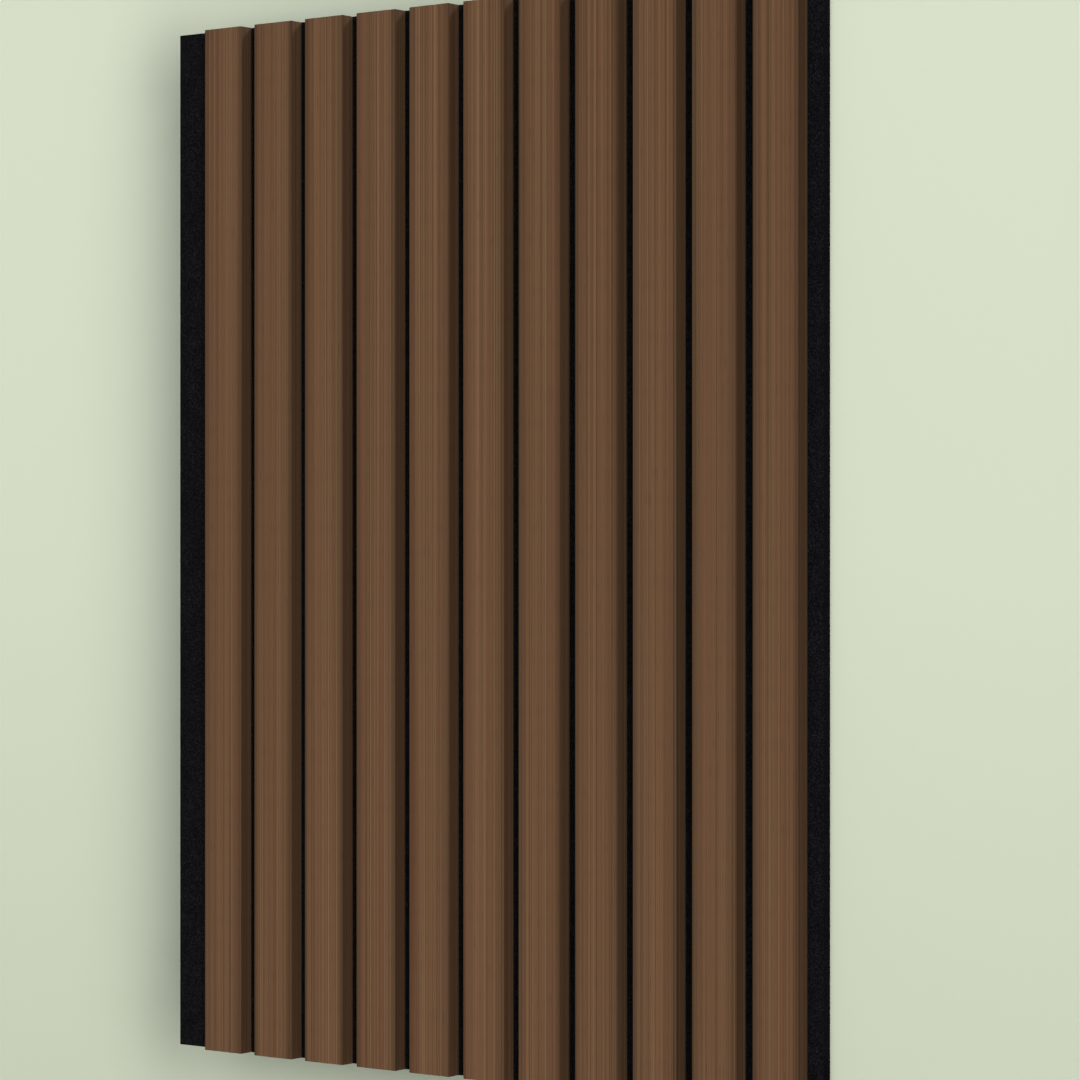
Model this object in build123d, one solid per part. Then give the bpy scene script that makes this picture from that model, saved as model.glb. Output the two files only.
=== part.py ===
from build123d import *
import os

# Slat wall panel: upright wood-faced slats side by side on a black felt board.
# Millimetres, +Z up. The board's back lies on the plane Y = 0, against the wall, and
# the slats face -Y. The origin is the middle of the board's back.

# Panel
panel_height = 800.0
slat_count = 11

# Slats: board strips with their two front edges eased
slat_width = 38.0
slat_depth = 12.0
slat_gap = 13.2
slat_edge_radius = 0.8

# Felt board that carries the slats, with a bare margin beside the outer slats
felt_thickness = 9.0
felt_left_margin = 36.8
felt_right_margin = 13.2

# Staples: flat wire bent to a U, driven from behind through the felt into each slat
staple_crown = 12.8
staple_wire_thickness = 0.65
staple_wire_width = 0.95
staple_bend_corner = 0.3
staple_point_length = 1.4
staple_sink = 0.4
staple_bite = 7.0
staple_end_distance = 52.0
staples_per_slat = 4

# Worked out from the sizes above
slat_pitch = slat_width + slat_gap
slats_across = slat_count * slat_pitch - slat_gap
panel_width = felt_left_margin + slats_across + felt_right_margin
first_slat_x = -panel_width / 2 + felt_left_margin + slat_width / 2
slat_centres = [first_slat_x + index * slat_pitch for index in range(slat_count)]

staple_leg = felt_thickness - staple_sink + staple_bite
staple_spacing = (panel_height - 2 * staple_end_distance) / (staples_per_slat - 1)
lowest_staple_z = -panel_height / 2 + staple_end_distance
staple_heights = [lowest_staple_z + index * staple_spacing for index in range(staples_per_slat)]


def felt_blank():
    """The felt board before the staples go in, its back on Y = 0."""
    return Box(panel_width, felt_thickness, panel_height, align=(Align.CENTER, Align.MAX, Align.CENTER))


def slat_blank():
    """One slat standing at X = 0 with its back on the felt."""
    middle_y = -felt_thickness - slat_depth / 2
    section = Pos(0, middle_y) * Rectangle(slat_width, slat_depth)
    front_corners = section.vertices().group_by(Axis.Y)[0]
    section = fillet(front_corners, slat_edge_radius)
    return extrude(section, amount=panel_height / 2, both=True)


def staple():
    """One staple, its crown across X at the height Z = 0, its legs pointing to -Y."""
    outer = staple_crown / 2
    inner = outer - staple_wire_thickness
    point = (outer + inner) / 2
    crown_y = -staple_sink
    bend_y = crown_y - staple_wire_thickness
    tip_y = crown_y - staple_leg
    shoulder_y = tip_y + staple_point_length
    right_half = [
        (inner, bend_y),
        (inner, shoulder_y),
        (point, tip_y),
        (outer, shoulder_y),
        (outer, crown_y),
    ]
    left_half = [(-x, y) for x, y in reversed(right_half)]
    profile = make_face(Polyline(right_half + left_half, close=True))
    bends = profile.vertices().group_by(Axis.Y)[-1]
    profile = chamfer(bends, staple_bend_corner)
    return extrude(profile, amount=staple_wire_width / 2, both=True)


def staple_track():
    """What a driven staple opens in the felt: its own form, and the slot that its crown sank through."""
    slot = Box(
        staple_crown,
        staple_sink + staple_wire_thickness,
        staple_wire_width,
        align=(Align.CENTER, Align.MAX, Align.CENTER),
    )
    return staple() + slot


def on_slat(piece, slat_x):
    """Copies of a piece at every staple's place along one slat."""
    return [Pos(slat_x, 0, height) * piece for height in staple_heights]


os.makedirs("parts", exist_ok=True)

one_slat = slat_blank() - on_slat(staple(), 0)
for number, slat_x in enumerate(slat_centres, start=1):
    export_step(Pos(slat_x, 0, 0) * one_slat, f"parts/slat_{number:02d}.step")

tracks = [track for slat_x in slat_centres for track in on_slat(staple_track(), slat_x)]
export_step(felt_blank() - tracks, "parts/felt_backing.step")

staples = [wire for slat_x in slat_centres for wire in on_slat(staple(), slat_x)]
export_step(Compound(children=staples), "parts/staples.step")
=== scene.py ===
import math

import bpy
import numpy as np
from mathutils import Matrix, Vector


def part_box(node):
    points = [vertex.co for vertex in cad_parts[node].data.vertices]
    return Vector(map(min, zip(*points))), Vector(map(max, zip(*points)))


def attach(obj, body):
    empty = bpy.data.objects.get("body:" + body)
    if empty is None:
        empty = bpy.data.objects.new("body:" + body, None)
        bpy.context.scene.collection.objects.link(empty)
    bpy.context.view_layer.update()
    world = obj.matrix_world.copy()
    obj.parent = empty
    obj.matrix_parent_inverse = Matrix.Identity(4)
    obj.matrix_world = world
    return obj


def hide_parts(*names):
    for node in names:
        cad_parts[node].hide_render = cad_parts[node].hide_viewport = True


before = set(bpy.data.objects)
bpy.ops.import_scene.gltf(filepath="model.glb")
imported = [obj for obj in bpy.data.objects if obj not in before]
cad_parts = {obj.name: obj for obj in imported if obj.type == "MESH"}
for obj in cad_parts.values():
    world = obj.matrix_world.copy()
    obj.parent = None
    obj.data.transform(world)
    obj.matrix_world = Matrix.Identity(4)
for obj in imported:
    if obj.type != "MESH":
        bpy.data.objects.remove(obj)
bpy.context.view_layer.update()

# Felt board: one sheet of black polyester fibre, needled and pressed to a stiff board
# and cut square with a knife. It carries the slats, and its back lies against the wall.
# The staples' crowns draw its back in a little where they were driven.
millimetre = 0.001
felt_low, felt_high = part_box("felt_backing")
felt_edge_radius = 0.5 * millimetre
felt_edge_steps = 3
staple_rows = 4
staple_end_distance = 52 * millimetre
staple_crown = 12.8 * millimetre
dimple_depth = 0.85 * millimetre
dimple_reach = 5.5 * millimetre
dimple_steepness = 4
dimple_lines_across = 17
dimple_lines_up = 15
slat_names = [name for name in sorted(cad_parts) if name.startswith("slat_")]
slat_boxes = [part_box(name) for name in slat_names]
staple_columns = [(low.x + high.x) / 2 for low, high in slat_boxes]
staple_heights = np.linspace(
    felt_low.z + staple_end_distance, felt_high.z - staple_end_distance, staple_rows
)


def lines_with_detail(start, end, centres, half_span, lines_each):
    """Places for grid lines from start to end, close together around each centre."""
    lines = [start, end]
    for centre in centres:
        lines += list(centre + half_span * np.linspace(-1, 1, lines_each))
    return sorted(lines)


def dimple(x, z):
    """How far the felt's back is drawn in at a point, by the nearest staple's crown."""
    from_column = min(abs(x - column) for column in staple_columns)
    from_row = min(abs(z - height) for height in staple_heights)
    past_crown = max(0.0, from_column - staple_crown / 2)
    share_of_reach = math.hypot(past_crown, from_row) / dimple_reach
    return dimple_depth * math.exp(-dimple_steepness * share_of_reach**2)


def felt_mesh():
    """A board with softened edges: a gridded front and back, joined by rings of faces."""
    radius = felt_edge_radius
    front, back = felt_low.y + radius, felt_high.y - radius
    crown_reach = staple_crown / 2 + dimple_reach
    xs = lines_with_detail(
        felt_low.x + radius, felt_high.x - radius, staple_columns, crown_reach, dimple_lines_across
    )
    zs = lines_with_detail(
        felt_low.z + radius, felt_high.z - radius, staple_heights, dimple_reach, dimple_lines_up
    )
    columns, rows = len(xs), len(zs)
    points, faces = [], []

    def at(side, column, row):
        return side * columns * rows + row * columns + column

    for y, drawn_in in ((felt_low.y, 0.0), (felt_high.y, 1.0)):
        points += [(x, y - drawn_in * dimple(x, z), z) for z in zs for x in xs]
    for row in range(rows - 1):
        for column in range(columns - 1):
            square = [(column, row), (column + 1, row), (column + 1, row + 1), (column, row + 1)]
            faces.append([at(0, *corner) for corner in square])
            faces.append([at(1, *corner) for corner in reversed(square)])
    rim = [(column, 0) for column in range(columns)]
    rim += [(columns - 1, row) for row in range(1, rows)]
    rim += [(column, rows - 1) for column in range(columns - 2, -1, -1)]
    rim += [(0, row) for row in range(rows - 2, 0, -1)]
    rings = [[at(0, *place) for place in rim]]
    turns = np.linspace(0, math.pi / 2, felt_edge_steps + 1)[1:]
    profile = [(radius * math.sin(turn), front - radius * math.cos(turn)) for turn in turns]
    profile.append((radius, back))
    profile += [(radius * math.cos(turn), back + radius * math.sin(turn)) for turn in turns[:-1]]
    for out, y in profile:
        first = len(points)
        for column, row in rim:
            x = xs[column] + out * ((column == columns - 1) - (column == 0))
            z = zs[row] + out * ((row == rows - 1) - (row == 0))
            points.append((x, y, z))
        rings.append(list(range(first, first + len(rim))))
    rings.append([at(1, *place) for place in rim])
    for near, far in zip(rings, rings[1:]):
        for index in range(len(rim)):
            after = (index + 1) % len(rim)
            faces.append([near[after], near[index], far[index], far[after]])
    mesh = bpy.data.meshes.new("felt_board")
    mesh.from_pydata(points, [], faces)
    mesh.shade_smooth()
    return mesh


class Finish:
    """A material under construction: its node tree, with short calls to add to it."""

    def __init__(self, name):
        self.material = bpy.data.materials.new(name)
        self.material.use_nodes = True
        self.tree = self.material.node_tree
        self.shader = self.tree.nodes["Principled BSDF"]

    def node(self, kind, **settings):
        made = self.tree.nodes.new("ShaderNode" + kind)
        for name, value in settings.items():
            setattr(made, name, value)
        return made

    def join(self, value, socket):
        """Sets a socket to a number or colour, or links another node's output to it."""
        if isinstance(value, bpy.types.NodeSocket):
            self.tree.links.new(value, socket)
        else:
            socket.default_value = value

    def split(self, vector):
        """The three numbers of a vector, by their names X, Y and Z."""
        made = self.node("SeparateXYZ")
        self.join(vector, made.inputs[0])
        return made.outputs

    def maths(self, operation, *values):
        made = self.node("Math", operation=operation)
        for value, socket in zip(values, made.inputs):
            self.join(value, socket)
        return made.outputs[0]

    def add_up(self, *parts):
        """Several values added up, each times its share."""
        total = 0.0
        for value, share in parts:
            total = self.maths("MULTIPLY_ADD", value, share, total)
        return total

    def place(self, stretch=(1, 1, 1), source=None, turn=(0, 0, 0)):
        """The point on the piece in metres, stretched and turned for a pattern."""
        made = self.node("Mapping", vector_type="POINT")
        made.inputs["Scale"].default_value = stretch
        made.inputs["Rotation"].default_value = turn
        self.join(source or self.node("TexCoord").outputs["Object"], made.inputs["Vector"])
        return made.outputs[0]

    def noise(self, place, per_metre, detail=2.0, roughness=0.5):
        made = self.node("TexNoise", noise_dimensions="3D")
        self.join(place, made.inputs["Vector"])
        made.inputs["Scale"].default_value = per_metre
        made.inputs["Detail"].default_value = detail
        made.inputs["Roughness"].default_value = roughness
        return made.outputs["Fac"]

    def ramp(self, value, stops):
        """A colour ramp through stops of (place, colour), with plain numbers read as greys."""
        made = self.node("ValToRGB")
        spots = made.color_ramp.elements
        spots.remove(spots[1])
        for index, (place, colour) in enumerate(stops):
            spot = spots.new(place) if index else spots[0]
            spot.position = place
            spot.color = (*colour, 1) if isinstance(colour, tuple) else (colour, colour, colour, 1)
        self.join(value, made.inputs["Fac"])
        return made.outputs["Color"]

    def times(self, colour, *factors):
        """A colour multiplied by others, one after another."""
        for factor in factors:
            made = self.node("Mix", data_type="RGBA", blend_type="MULTIPLY")
            made.inputs["Factor"].default_value = 1.0
            self.join(colour, made.inputs["A"])
            self.join(factor, made.inputs["B"])
            colour = made.outputs["Result"]
        return colour

    def bump(self, height, depth):
        made = self.node("Bump")
        made.inputs["Distance"].default_value = depth
        self.join(height, made.inputs["Height"])
        self.join(made.outputs["Normal"], self.shader.inputs["Normal"])

    def set(self, **values):
        """Sets the shader's own sockets: base_color is Base Color, and so on."""
        for name, value in values.items():
            words = [word.upper() if word == "ior" else word.capitalize() for word in name.split("_")]
            self.join(value, self.shader.inputs[" ".join(words)])


def linear(red, green, blue):
    """A colour given as it looks on a screen, 0 to 255, as the linear light that it is."""
    def one(level):
        level /= 255
        return level / 12.92 if level <= 0.04045 else ((level + 0.055) / 1.055) ** 2.4
    return one(red), one(green), one(blue)


def felt_finish():
    """Black fibre felt: short fibres lying every way, with a faint cloudiness."""
    felt = Finish("black_felt")
    fibre_stretch = (1, 0.35, 0.12)
    fibre_turns = (0.35, 1.15, 1.95, 2.75)
    fibres = 0.0
    for turn in fibre_turns:
        lying = felt.place(fibre_stretch, turn=(0, turn, 0))
        strand = felt.noise(lying, 3200, detail=1.5, roughness=0.6)
        fibres = felt.maths("MAXIMUM", fibres, strand)
    tufts = felt.noise(felt.place(), 1150, roughness=0.6)
    clouds = felt.noise(felt.place(), 70, roughness=0.6)
    mixed = felt.add_up((fibres, 0.33), (tufts, 0.6), (clouds, 0.07))
    colour = felt.ramp(
        mixed,
        [
            (0.38, linear(7, 7, 8)),
            (0.50, linear(15, 15, 17)),
            (0.58, linear(24, 24, 26)),
            (0.72, linear(50, 50, 54)),
        ],
    )
    # Painted shade: every face is painted darker by which way it faces, the cut edges most.
    facing = felt.split(felt.node("NewGeometry").outputs["Normal"])
    facing_front = felt.maths("ABSOLUTE", facing["Y"])
    painted_edge_shade = felt.ramp(facing_front, [(0.3, 0.72), (0.7, 0.88)])
    felt.set(base_color=felt.times(colour, painted_edge_shade), roughness=1.0, specular_ior_level=0.0)
    felt.bump(mixed, 0.4 * millimetre)
    return felt.material


felt_board = bpy.data.objects.new("felt_board", felt_mesh())
bpy.context.scene.collection.objects.link(felt_board)
felt_board.data.materials.append(felt_finish())
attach(felt_board, "root")
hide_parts("felt_backing")

# Slats: eleven strips of fibreboard, each wrapped in one piece of thin brown wood veneer
# that runs over the front and round both eased edges to the felt. The ends are sawn square,
# so the board shows there inside the veneer. They stand on the felt, glued and stapled.
slat_edge_radius = 0.8 * millimetre
slat_edge_steps = 8
veneer_thickness = 0.6 * millimetre
end_chamfer = 0.25 * millimetre


def slat_outline(low, high, inset):
    """Points round one slat's section, from the felt up the left side, over the front and back
    down on the right, each with its outward direction and its way round from the front's middle."""
    right, front = high.x - inset, low.y + inset
    radius = slat_edge_radius - inset
    half_front = (high.x - low.x) / 2 - slat_edge_radius
    round_edge = slat_edge_radius * math.pi / 2
    side = high.y - low.y - slat_edge_radius
    spots = []
    for turn in np.linspace(0, math.pi / 2, slat_edge_steps + 1):
        out = (math.sin(turn), -math.cos(turn))
        x, y = right - radius + radius * out[0], front + radius + radius * out[1]
        spots.append((x, y, out, half_front + slat_edge_radius * turn))
    spots.append((right, high.y, (1, 0), half_front + round_edge + side))
    middle = low.x + high.x
    mirrored = [(middle - x, y, (-out[0], out[1]), -way) for x, y, out, way in reversed(spots)]
    return mirrored + spots


def slat_mesh(name, number, low, high):
    """One slat: the wrapped section from end to end, a sawn end at each end and a flat back."""
    outer = slat_outline(low, high, 0.0)
    eased = slat_outline(low, high, end_chamfer)
    core = slat_outline(low, high, veneer_thickness)
    count = len(outer)
    levels = [
        (core, low.z),
        (eased, low.z),
        (outer, low.z + end_chamfer),
        (outer, high.z - end_chamfer),
        (eased, high.z),
        (core, high.z),
    ]
    wrapped_level = 2
    veneer, board = 0, 1
    points, ways, faces, materials = [], [], [], []
    for outline, z in levels:
        points += [(x, y, z) for x, y, out, way in outline]
        ways += [(way, z, number) for x, y, out, way in outline]
    for level in range(len(levels) - 1):
        for index in range(count - 1):
            a, b = level * count + index, level * count + index + 1
            faces.append([a, b, b + count, a + count])
            materials.append(veneer)
    last = (len(levels) - 1) * count
    faces.append(list(range(count - 1, -1, -1)))
    faces.append(list(range(last, last + count)))
    left_back = [level * count for level in range(len(levels))]
    faces.append(left_back + [start + count - 1 for start in reversed(left_back)])
    materials += [board, board, board]
    mesh = bpy.data.meshes.new(name)
    mesh.from_pydata(points, [], faces)
    mesh.polygons.foreach_set("material_index", materials)
    mesh.attributes.new("veneer_place", "FLOAT_VECTOR", "POINT").data.foreach_set(
        "vector", np.array(ways, np.float32).ravel()
    )
    mesh.shade_smooth()
    wrapped = range(wrapped_level * (count - 1), (wrapped_level + 1) * (count - 1))
    normals = []
    for face in mesh.polygons:
        for corner in face.vertices:
            out = outer[corner % count][2]
            normals.append((out[0], out[1], 0) if face.index in wrapped else tuple(face.normal))
    mesh.normals_split_custom_set(normals)
    return mesh


def bake_map(mesh, low, high):
    """A texture map that rolls the veneer out flat: its way round across, its length upright.
    The back lies beside it, and the sawn ends lie in strips along the bottom and the top."""
    veneer_middle, veneer_span = 0.35, 0.66
    back_start, back_span = 0.72, 0.26
    length_start, length_span = 0.06, 0.88
    end_start, end_span = 0.03, 0.9
    bottom_strip, top_strip, strip_height = 0.005, 0.955, 0.04
    straight_on = 0.9
    width, depth, length = high - low
    girth = width + 2 * depth
    places = np.empty(len(mesh.vertices) * 3, np.float32)
    mesh.attributes["veneer_place"].data.foreach_get("vector", places)
    ways = places[0::3]
    layer = mesh.uv_layers.new(name="OFBake")
    for face in mesh.polygons:
        for loop in face.loop_indices:
            corner = mesh.vertices[mesh.loops[loop].vertex_index]
            x, y, z = corner.co - low
            upright = length_start + length_span * z / length
            if abs(face.normal.z) > straight_on:
                strip = bottom_strip if face.normal.z < 0 else top_strip
                spot = (end_start + end_span * x / width, strip + strip_height * y / depth)
            elif face.normal.y > straight_on:
                spot = (back_start + back_span * x / width, upright)
            else:
                spot = (veneer_middle + veneer_span * ways[corner.index] / girth, upright)
            layer.data[loop].uv = spot


def veneer_finish():
    """Fine straight-grained brown veneer under a satin coat, with painted shade at the edges and sides.
    """
    wood = Finish("brown_veneer")
    place = wood.node("Attribute", attribute_name="veneer_place").outputs["Vector"]

    def lines(per_metre, along, piece_step, detail=1.0, roughness=0.5):
        """Lines across the grain, drawn out along the slat by along, and new on each slat."""
        return wood.noise(wood.place((1, along, piece_step), place), per_metre, detail, roughness)

    fine = lines(740, along=0.0008, piece_step=13.7, detail=2.0, roughness=0.65)
    streak = lines(260, along=0.001, piece_step=5.3)
    band = lines(62, along=0.004, piece_step=3.1)
    pores = lines(2600, along=0.02, piece_step=1.7, detail=0.5)
    tint = lines(110, along=0.002, piece_step=9.1)
    piece_tone = wood.noise(wood.place((0.0, 0.0, 17.77), place), 1.0, detail=0.0)
    grain = wood.add_up((fine, 0.66), (streak, 0.22), (band, 0.12))
    colour = wood.ramp(
        grain,
        [
            (0.32, linear(75, 53, 36)),
            (0.46, linear(94, 69, 49)),
            (0.54, linear(103, 76, 55)),
            (0.68, linear(124, 95, 71)),
        ],
    )
    hue = wood.ramp(tint, [(0.35, (1.03, 0.965, 0.95)), (0.65, (0.985, 1.02, 1.0))])
    tone = wood.ramp(piece_tone, [(0.3, 0.94), (0.7, 1.06)])
    open_pores = wood.ramp(pores, [(0.62, 1.0), (0.74, 0.8)])
    # Painted shade: front darker towards its long edges, sides darker still and lighter near the felt.
    half_girth = 30.7 * millimetre
    wander = 1.6 * millimetre
    drift = wood.noise(wood.place((0.15, 1, 2.3), place), 9)
    drift = wood.maths("MULTIPLY_ADD", drift, wander, -wander / 2)
    from_middle = wood.maths("ABSOLUTE", wood.split(place)["X"])
    painted_front_shade = wood.ramp(
        wood.maths("DIVIDE", wood.maths("ADD", from_middle, drift), half_girth),
        [
            (0.130, 1.0),
            (0.260, 0.955),
            (0.360, 0.915),
            (0.425, 0.875),
            (0.490, 0.77),
            (0.555, 0.655),
            (0.600, 0.59),
        ],
    )
    painted_side_shade = wood.ramp(
        wood.maths("DIVIDE", from_middle, half_girth),
        [
            (0.588, 1.0),
            (0.604, 0.80),
            (0.626, 0.80),
            (0.650, (0.91, 0.96, 0.98)),
            (1.0, (0.96, 1.0, 1.0)),
        ],
    )
    colour = wood.times(colour, hue, tone, open_pores, painted_front_shade, painted_side_shade)
    wood.set(base_color=colour, roughness=0.6, specular_ior_level=0.03)
    wood.bump(wood.add_up((grain, 1.0), (pores, -0.4)), 0.12 * millimetre)
    return wood.material


def board_finish():
    """Sawn fibreboard at the slats' ends: short pale brown fibres, matt and a little rough."""
    board = Finish("sawn_fibreboard")
    fibres = board.noise(board.place(), 1500, detail=3.0, roughness=0.7)
    colour = board.ramp(
        fibres, [(0.3, linear(94, 70, 48)), (0.5, linear(134, 104, 74)), (0.7, linear(164, 132, 98))]
    )
    board.set(base_color=colour, roughness=0.9, specular_ior_level=0.15)
    board.bump(fibres, 0.2 * millimetre)
    return board.material


brown_veneer = veneer_finish()
sawn_fibreboard = board_finish()
for number, (node, (low, high)) in enumerate(zip(slat_names, slat_boxes), start=1):
    mesh = slat_mesh(node + "_veneered", number, low, high)
    bake_map(mesh, low, high)
    slat = bpy.data.objects.new(node + "_veneered", mesh)
    bpy.context.scene.collection.objects.link(slat)
    mesh.materials.append(brown_veneer)
    mesh.materials.append(sawn_fibreboard)
    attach(slat, "root")
    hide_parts(node)

# Staples: flat zinc-coated steel wire bent to a U, driven from behind through the felt into
# each slat, with the crown drawn a little way into the felt.


def staple_finish():
    """Zinc-coated steel wire, bright with fine drawing marks along it."""
    steel = Finish("zinc_coated_wire")
    marks = steel.noise(steel.place((0.06, 1, 1)), 6000)
    colour = steel.ramp(marks, [(0.35, linear(150, 150, 146)), (0.65, linear(196, 196, 192))])
    steel.set(base_color=colour, metallic=1.0)
    steel.set(roughness=steel.maths("MULTIPLY_ADD", marks, 0.25, 0.25))
    steel.bump(marks, 0.02 * millimetre)
    return steel.material


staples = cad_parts["staples"]
staples.data.materials.clear()
staples.data.materials.append(staple_finish())

# Wall and floor: a plain pale green painted wall, seen from the room side only, and a plain pale
# floor. The wall all but touches the panel's right edge and stands off on the left, so that the
# panel's soft shadow shows beside it. Neither is part of the panel.
wall_gap_right = 0.3 * millimetre
wall_gap_left = 60 * millimetre
wall_reach = 2.5
floor_drop = 0.85
ceiling_rise = 2.0
floor_z = felt_low.z - floor_drop
ceiling_z = felt_low.z + ceiling_rise
floor_reach = 30.0


def flat_sheet(name, corners, material):
    """A flat sheet beside the panel, which neither throws light on it nor shades it."""
    mesh = bpy.data.meshes.new(name)
    mesh.from_pydata(corners, [], [(0, 1, 2, 3)])
    mesh.materials.append(material)
    sheet = bpy.data.objects.new(name, mesh)
    bpy.context.scene.collection.objects.link(sheet)
    sheet.visible_diffuse = False
    sheet.visible_glossy = False
    sheet.visible_transmission = False
    sheet.visible_shadow = False
    return sheet


def wall_paint():
    """Matt pale green, clear from behind. Painted light and shade make it darker lower down and to
    the left, and a painted shadow lies round the panel's ends, where the lamps' own shadow thins out."""
    paint = Finish("pale_green_paint")
    ramp_middle = 0.5
    shade_drop = 0.006
    shade_depth = 0.17
    spot = paint.split(paint.node("TexCoord").outputs["Object"])
    # Painted light and shade: the wall is darker lower down and a little darker towards the left.
    up = paint.ramp(
        paint.maths("ADD", spot["Z"], ramp_middle),
        [(0.0, linear(199, 207, 185)), (0.5, linear(213, 221, 199)), (0.85, linear(216, 224, 202))],
    )
    from_left = paint.maths("ADD", spot["X"], ramp_middle)
    along = paint.ramp(from_left, [(0.0, 0.975), (1.0, 1.0)])
    # Painted shadow: a band above and below the panel's ends, from left of the panel to past its middle.
    painted_shadow_across = paint.ramp(
        from_left,
        [(0.04, 0.0), (0.075, 0.3), (0.10, 0.75), (0.13, 1.0), (0.25, 1.0), (0.40, 1.3), (0.75, 0.0)],
    )
    painted_shadow_up = paint.ramp(
        paint.maths("ABSOLUTE", paint.maths("ADD", spot["Z"], shade_drop)),
        [(0.315, 0.0), (0.35, 0.4), (0.38, 1.0), (0.40, 1.0), (0.43, 0.5), (0.48, 0.0)],
    )
    shade = paint.maths("MULTIPLY_ADD", paint.times(painted_shadow_across, painted_shadow_up), -shade_depth, 1.0)
    paint.set(base_color=paint.times(up, along, shade), roughness=1.0, specular_ior_level=0.0)
    clear_behind = paint.node("MixShader")
    paint.join(paint.node("NewGeometry").outputs["Backfacing"], clear_behind.inputs[0])
    paint.join(paint.shader.outputs[0], clear_behind.inputs[1])
    paint.join(paint.node("BsdfTransparent").outputs[0], clear_behind.inputs[2])
    paint.join(clear_behind.outputs[0], paint.tree.nodes["Material Output"].inputs["Surface"])
    return paint.material


def floor_finish():
    """Plain pale matt floor."""
    pale = Finish("pale_floor")
    pale.set(base_color=(*linear(218, 222, 213), 1), roughness=1.0, specular_ior_level=0.0)
    return pale.material


wall_slope = (wall_gap_right - wall_gap_left) / (felt_high.x - felt_low.x)
wall_left_y = wall_gap_left + wall_slope * (-wall_reach - felt_low.x)
wall_right_y = wall_gap_left + wall_slope * (wall_reach - felt_low.x)
wall = flat_sheet(
    "wall",
    [
        (-wall_reach, wall_left_y, floor_z),
        (wall_reach, wall_right_y, floor_z),
        (wall_reach, wall_right_y, ceiling_z),
        (-wall_reach, wall_left_y, ceiling_z),
    ],
    wall_paint(),
)
flat_sheet(
    "floor",
    [
        (-floor_reach, -floor_reach, floor_z),
        (floor_reach, -floor_reach, floor_z),
        (floor_reach, floor_reach, floor_z),
        (-floor_reach, floor_reach, floor_z),
    ],
    floor_finish(),
)

# Light: a soft key that reaches down the slats' right sides and a weak fill for their left sides,
# a tall soft key of three lamps for the wall alone, which draws the panel's shadow there, one lamp
# in front, one behind for the back, and an even sky. Colours show about as they are written.
wall_alone = bpy.data.collections.new("wall_alone")
wall_alone.objects.link(wall)
all_but_wall = bpy.data.collections.new("all_but_wall")
all_but_wall.objects.link(wall)
all_but_wall.collection_objects[0].light_linking.link_state = "EXCLUDE"


def soft_lamp(name, azimuth, elevation, spread, level, lights=None):
    """A far lamp that lights a face turned to it with level, as wide in the sky as spread degrees."""
    lamp = bpy.data.lights.new(name, "SUN")
    lamp.energy = level * math.pi
    lamp.angle = math.radians(spread)
    round_z, up = math.radians(azimuth), math.radians(elevation)
    towards = Vector((math.sin(round_z) * math.cos(up), -math.cos(round_z) * math.cos(up), math.sin(up)))
    holder = bpy.data.objects.new(name, lamp)
    holder.rotation_mode = "QUATERNION"
    holder.rotation_quaternion = towards.to_track_quat("Z", "Y")
    holder.light_linking.receiver_collection = lights
    bpy.context.scene.collection.objects.link(holder)


soft_lamp("panel_key", azimuth=48, elevation=8, spread=14, level=0.70, lights=all_but_wall)
soft_lamp("panel_fill", azimuth=-42, elevation=14, spread=40, level=0.14, lights=all_but_wall)
soft_lamp("wall_key_low", azimuth=55, elevation=-17, spread=22, level=0.29, lights=wall_alone)
soft_lamp("wall_key_middle", azimuth=55, elevation=1.5, spread=26, level=0.43, lights=wall_alone)
soft_lamp("wall_key_high", azimuth=55, elevation=21, spread=22, level=0.29, lights=wall_alone)
soft_lamp("front_lamp", azimuth=7, elevation=10, spread=60, level=0.35)
soft_lamp("back_lamp", azimuth=160, elevation=40, spread=20, level=1.3)

sky = bpy.data.worlds.new("even_sky")
bpy.context.scene.world = sky
sky.use_nodes = True
sky_nodes, sky_links = sky.node_tree.nodes, sky.node_tree.links
lit_sky = sky_nodes["Background"]
lit_sky.inputs["Color"].default_value = (1, 1, 1, 1)
lit_sky.inputs["Strength"].default_value = 0.2
seen_sky = sky_nodes.new("ShaderNodeBackground")
seen_sky.inputs["Color"].default_value = (*linear(226, 230, 220), 1)
seen_sky.inputs["Strength"].default_value = 1.0
path = sky_nodes.new("ShaderNodeLightPath")
seen = sky_nodes.new("ShaderNodeMath")
seen.operation = "MAXIMUM"
seen_through = sky_nodes.new("ShaderNodeMath")
seen_through.operation = "MAXIMUM"
sky_links.new(path.outputs["Is Camera Ray"], seen.inputs[0])
sky_links.new(path.outputs["Is Glossy Ray"], seen.inputs[1])
sky_links.new(seen.outputs[0], seen_through.inputs[0])
sky_links.new(path.outputs["Is Transmission Ray"], seen_through.inputs[1])
choice = sky_nodes.new("ShaderNodeMixShader")
sky_links.new(seen_through.outputs[0], choice.inputs[0])
sky_links.new(lit_sky.outputs[0], choice.inputs[1])
sky_links.new(seen_sky.outputs[0], choice.inputs[2])
sky_links.new(choice.outputs[0], sky_nodes["World Output"].inputs["Surface"])

# Camera: level with the panel's middle and well off to its right, with a long lens. Its place,
# turn and focal length are those of a pinhole camera fitted to the slats' edges.
camera_place = (1.6374, -2.1508, 0.0)
camera_yaw = math.radians(36.456)
focal_pixels = 3622.9
photo_pixels = 1080
camera = bpy.data.objects.new("camera", bpy.data.cameras.new("camera"))
camera.data.sensor_width = 36.0
camera.data.lens = focal_pixels / photo_pixels * camera.data.sensor_width
camera.location = camera_place
camera.rotation_euler = (math.pi / 2, 0, camera_yaw)
bpy.context.scene.collection.objects.link(camera)
bpy.context.scene.camera = camera
bpy.context.scene.view_settings.view_transform = "Standard"
